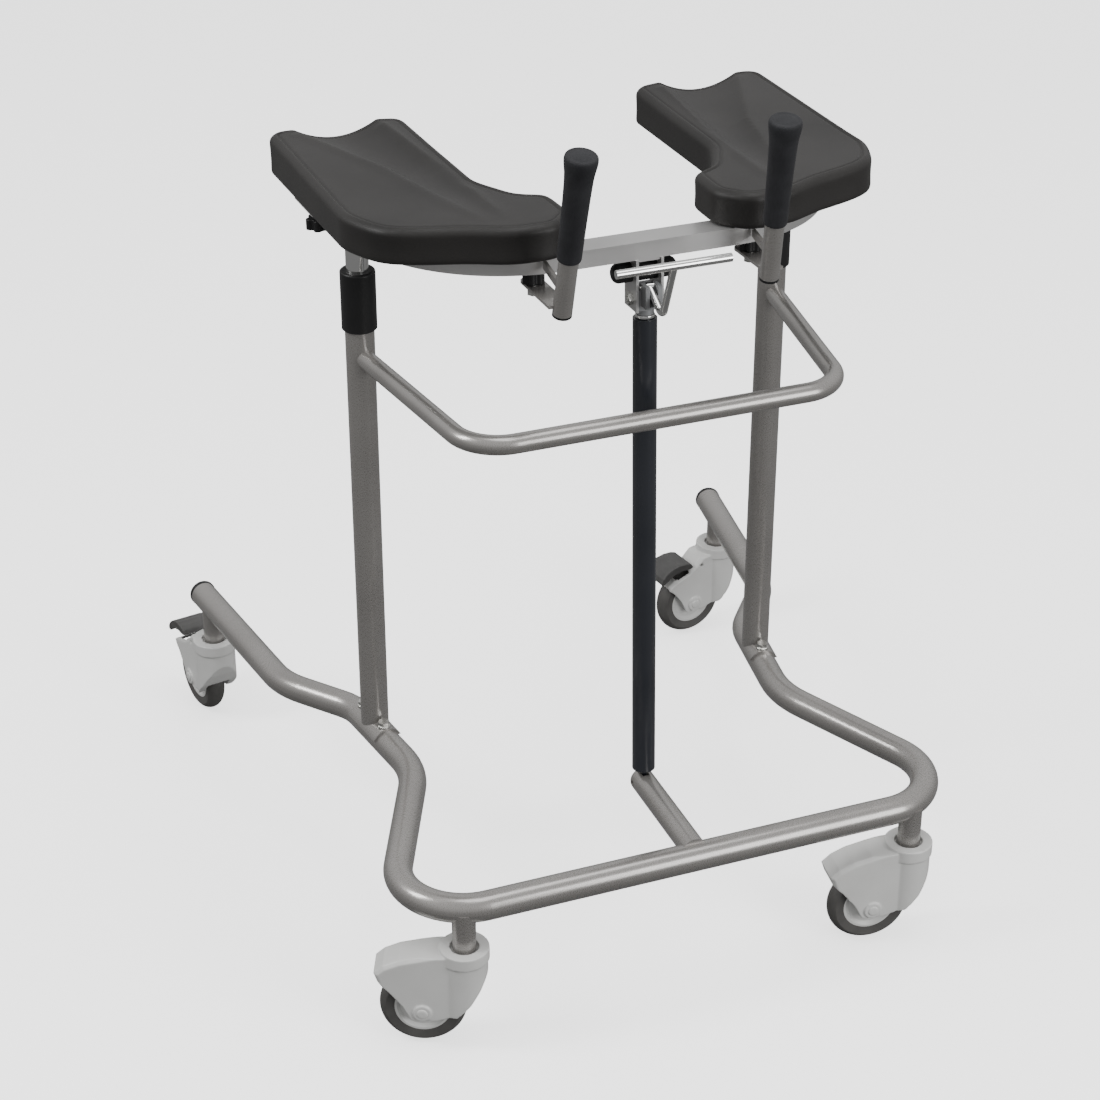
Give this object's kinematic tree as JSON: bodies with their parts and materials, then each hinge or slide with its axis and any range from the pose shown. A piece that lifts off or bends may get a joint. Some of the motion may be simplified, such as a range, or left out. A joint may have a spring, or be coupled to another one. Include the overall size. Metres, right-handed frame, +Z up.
{
  "type": "walking_frame",
  "caption": "Forearm-support walking frame: waisted tube base on swivelling casters, telescoping columns, gas-spring height release, moulded arm pads and upright hand grips.",
  "frame": {"origin": "middle of the bounding box on the floor under the wheels", "axes": "+Z up, +X to the user's right, the user walks toward -Y"},
  "size_m": [0.8347, 0.9165, 1.0552],
  "materials": {
    "silver_coat": "satin metallic powder coat",
    "bar_silver": "satin light silver",
    "black_plastic": "moulded, lightly textured",
    "black_coat": "satin black",
    "chrome": "polished",
    "zinc": "bright zinc plate",
    "cast_grey": "die-cast, dull",
    "plate_black": "matte",
    "pad_skin": "soft moulded foam skin",
    "grip_foam": "fine-grained foam",
    "caster_grey": "semi-gloss",
    "tyre_grey": "smooth non-marking",
    "pedal_grey": "moulded"
  },
  "bodies": {
    "base": {"base_frame": "silver_coat", "rear_end_caps": "black_plastic", "spring_stub": "silver_coat", "stub_pin": "zinc", "caster_sockets": "silver_coat", "caster_stems": "zinc", "columns": "silver_coat", "foot_plates": "silver_coat", "foot_bolts": "zinc", "column_collars": "black_plastic", "u_bar": "silver_coat"},
    "top": {"inner_tubes": "chrome", "top_frame": "bar_silver", "top_frame_caps": "black_plastic", "spring_bracket": "bar_silver", "palm_grip": "black_plastic", "pivot_bolt": "zinc", "pad_pivot_bolts": "zinc", "clamp_bolts": "zinc"},
    "spring_lower": {"gas_cylinder": "black_coat"},
    "spring_upper": {"cover_tube": "black_coat", "piston_rod": "chrome", "ring_nut": "chrome", "release_head": "cast_grey", "lever_pin": "zinc"},
    "release_lever": {"release_lever": "chrome"},
    "pad_left": {"pad_plate_left": "plate_black", "arm_pad_left": "pad_skin"},
    "pad_knob_left": {"pad_knob_left": "black_plastic"},
    "handle_left": {"handle_left": "silver_coat", "handle_cap_left": "black_plastic", "grip_left": "grip_foam"},
    "handle_knob_left": {"handle_knob_left": "black_plastic"},
    "pad_right": {"pad_plate_right": "plate_black", "arm_pad_right": "pad_skin"},
    "pad_knob_right": {"pad_knob_right": "black_plastic"},
    "handle_right": {"handle_right": "silver_coat", "handle_cap_right": "black_plastic", "grip_right": "grip_foam"},
    "handle_knob_right": {"handle_knob_right": "black_plastic"},
    "fork_front_left": {"fork_front_left": "caster_grey", "axle_front_left": "zinc"},
    "wheel_front_left": {"hub_front_left": "caster_grey", "tyre_front_left": "tyre_grey"},
    "fork_front_right": {"fork_front_right": "caster_grey", "axle_front_right": "zinc"},
    "wheel_front_right": {"hub_front_right": "caster_grey", "tyre_front_right": "tyre_grey"},
    "fork_rear_left": {"fork_rear_left": "caster_grey", "axle_rear_left": "zinc"},
    "wheel_rear_left": {"hub_rear_left": "caster_grey", "tyre_rear_left": "tyre_grey"},
    "brake_pedal_left": {"brake_pedal_left": "pedal_grey"},
    "fork_rear_right": {"fork_rear_right": "caster_grey", "axle_rear_right": "zinc"},
    "wheel_rear_right": {"hub_rear_right": "caster_grey", "tyre_rear_right": "tyre_grey"},
    "brake_pedal_right": {"brake_pedal_right": "pedal_grey"}
  },
  "joints": [
    {"name": "height_slide", "type": "slide", "parent": "base", "child": "top", "axis": [0, 0, 1], "range_m": [0, 0.35]},
    {"name": "spring_foot_hinge", "type": "hinge", "parent": "base", "child": "spring_lower", "pos_m": [0, -0.272, 0.194], "axis": [1, 0, 0], "range_deg": [0, 0.9]},
    {"name": "spring_head_hinge", "type": "hinge", "parent": "top", "child": "spring_upper", "pos_m": [0, -0.2475, 0.8315], "axis": [1, 0, 0], "range_deg": [0, 0.9]},
    {"name": "release_squeeze", "type": "hinge", "parent": "spring_upper", "child": "release_lever", "pos_m": [0, -0.259, 0.847], "axis": [1, 0, 0], "range_deg": [0, 7], "stiffness_Nm_per_rad": 1.5, "springref_deg": -171.89},
    {"name": "pad_swing_left", "type": "hinge", "parent": "top", "child": "pad_left", "pos_m": [-0.303, 0.04267, 0.8874], "axis": [0, 0.0454, 0.999], "range_deg": [-4, 4]},
    {"name": "pad_knob_turn_left", "type": "hinge", "parent": "pad_left", "child": "pad_knob_left", "pos_m": [-0.303, -0.00774, 0.87943], "axis": [0, 0.0454, 0.999], "continuous": true},
    {"name": "handle_slide_left", "type": "slide", "parent": "top", "child": "handle_left", "axis": [0, 0.999, -0.0454], "range_m": [-0.008, 0.001]},
    {"name": "handle_knob_turn_left", "type": "hinge", "parent": "top", "child": "handle_knob_left", "pos_m": [-0.1306, -0.24127, 0.87302], "axis": [0, 0.0454, 0.999], "continuous": true},
    {"name": "pad_swing_right", "type": "hinge", "parent": "top", "child": "pad_right", "pos_m": [0.303, 0.04267, 0.8874], "axis": [0, 0.0454, 0.999], "range_deg": [-4, 4]},
    {"name": "pad_knob_turn_right", "type": "hinge", "parent": "pad_right", "child": "pad_knob_right", "pos_m": [0.303, -0.00774, 0.87943], "axis": [0, 0.0454, 0.999], "continuous": true},
    {"name": "handle_slide_right", "type": "slide", "parent": "top", "child": "handle_right", "axis": [0, 0.999, -0.0454], "range_m": [-0.008, 0.001]},
    {"name": "handle_knob_turn_right", "type": "hinge", "parent": "top", "child": "handle_knob_right", "pos_m": [0.1306, -0.24127, 0.87302], "axis": [0, 0.0454, 0.999], "continuous": true},
    {"name": "swivel_front_left", "type": "hinge", "parent": "base", "child": "fork_front_left", "pos_m": [-0.289, -0.4254, 0.134], "axis": [0, 0, 1], "continuous": true},
    {"name": "roll_front_left", "type": "hinge", "parent": "fork_front_left", "child": "wheel_front_left", "pos_m": [-0.3341, -0.40625, 0.0515], "axis": [-0.3907, -0.9205, 0], "continuous": true},
    {"name": "swivel_front_right", "type": "hinge", "parent": "base", "child": "fork_front_right", "pos_m": [0.289, -0.4254, 0.134], "axis": [0, 0, 1], "continuous": true},
    {"name": "roll_front_right", "type": "hinge", "parent": "fork_front_right", "child": "wheel_front_right", "pos_m": [0.24048, -0.41858, 0.0515], "axis": [-0.1392, -0.9903, 0], "continuous": true},
    {"name": "swivel_rear_left", "type": "hinge", "parent": "base", "child": "fork_rear_left", "pos_m": [-0.382, 0.3494, 0.134], "axis": [0, 0, 1], "continuous": true},
    {"name": "roll_rear_left", "type": "hinge", "parent": "fork_rear_left", "child": "wheel_rear_left", "pos_m": [-0.39051, 0.39766, 0.0515], "axis": [-0.9848, -0.1736, 0], "continuous": true},
    {"name": "brake_press_left", "type": "hinge", "parent": "fork_rear_left", "child": "brake_pedal_left", "pos_m": [-0.3886, 0.38682, 0.113], "axis": [-0.9848, -0.1736, 0], "range_deg": [0, 6]},
    {"name": "swivel_rear_right", "type": "hinge", "parent": "base", "child": "fork_rear_right", "pos_m": [0.382, 0.3494, 0.134], "axis": [0, 0, 1], "continuous": true},
    {"name": "roll_rear_right", "type": "hinge", "parent": "fork_rear_right", "child": "wheel_rear_right", "pos_m": [0.33374, 0.34089, 0.0515], "axis": [0.1736, -0.9848, 0], "continuous": true},
    {"name": "brake_press_right", "type": "hinge", "parent": "fork_rear_right", "child": "brake_pedal_right", "pos_m": [0.34458, 0.3428, 0.113], "axis": [0.1736, -0.9848, 0], "range_deg": [0, 6]}
  ],
  "couplings": [
    {"joint": "spring_foot_hinge", "follows": "height_slide", "rad_per_m": 0.0415},
    {"joint": "spring_head_hinge", "follows": "height_slide", "rad_per_m": 0.0415}
  ]
}
